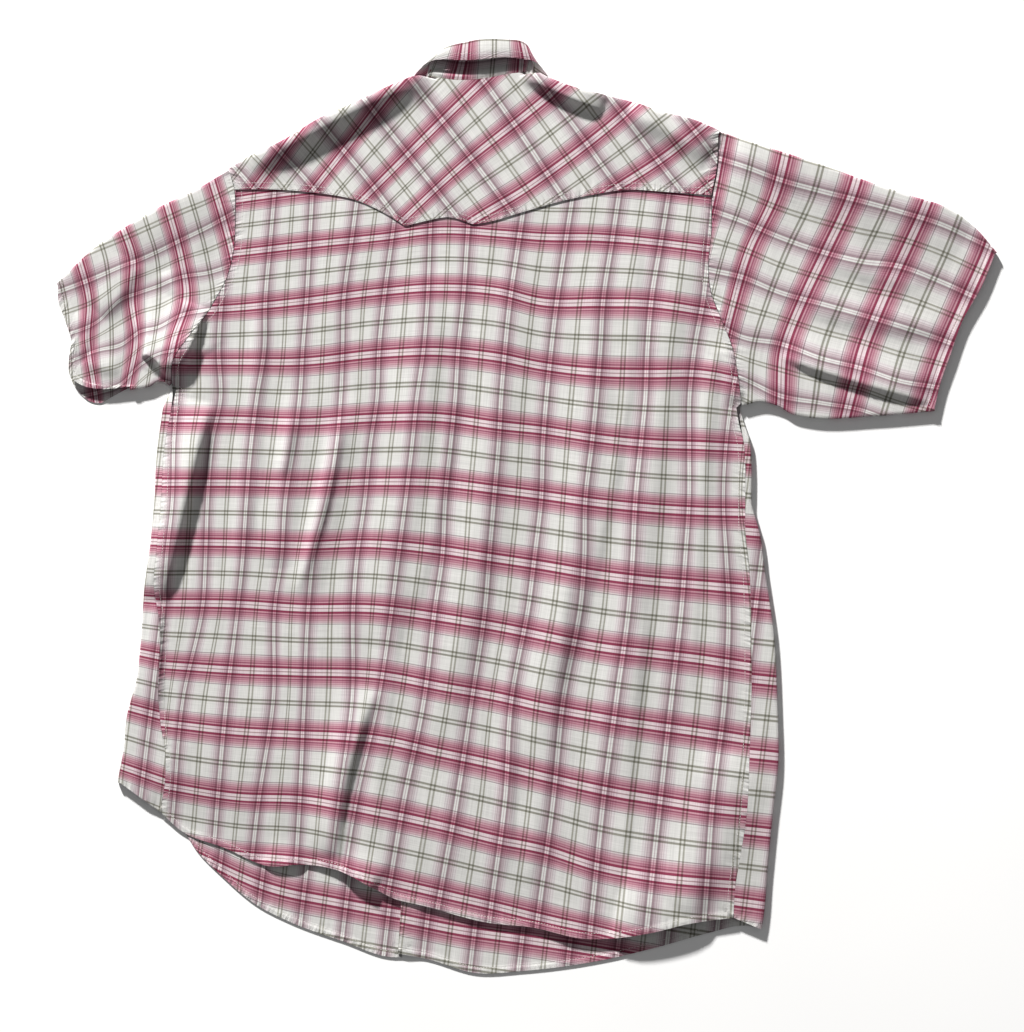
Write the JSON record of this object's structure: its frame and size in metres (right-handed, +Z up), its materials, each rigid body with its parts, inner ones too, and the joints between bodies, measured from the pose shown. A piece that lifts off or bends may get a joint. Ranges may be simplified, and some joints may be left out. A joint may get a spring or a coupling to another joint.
{
  "type": "western snap shirt",
  "caption": "Short-sleeved plaid western snap shirt laid flat with its back up, with a bias yoke that has a double-pointed edge, a turned-down collar and curved tails.",
  "frame": {"origin": "middle of the laid shirt's bounding box, on the surface it lies on", "axes": "+X to the right as seen from above with the collar at the top, +Y from the hem towards the collar, +Z up from the surface through the lower layer to the back panel"},
  "size_m": [0.9394, 0.9332, 0.0166],
  "materials": {
    "body_cloth": "cotton plaid, white ground with crimson, pink, mauve and olive stripes, straight grain",
    "yoke_cloth": "the same cotton plaid cut on the bias",
    "pearl_snap": "pearl-like snap cap"
  },
  "bodies": {
    "root": {"back_panel": "body_cloth", "back_yoke": "yoke_cloth", "left_front": "body_cloth", "right_front": "body_cloth", "left_sleeve": "body_cloth", "right_sleeve": "body_cloth", "collar_stand": "body_cloth", "collar_fall": "body_cloth", "snap_1": "pearl_snap", "snap_2": "pearl_snap", "snap_3": "pearl_snap", "snap_4": "pearl_snap", "snap_5": "pearl_snap", "snap_6": "pearl_snap", "snap_7": "pearl_snap"}
  },
  "joints": []
}
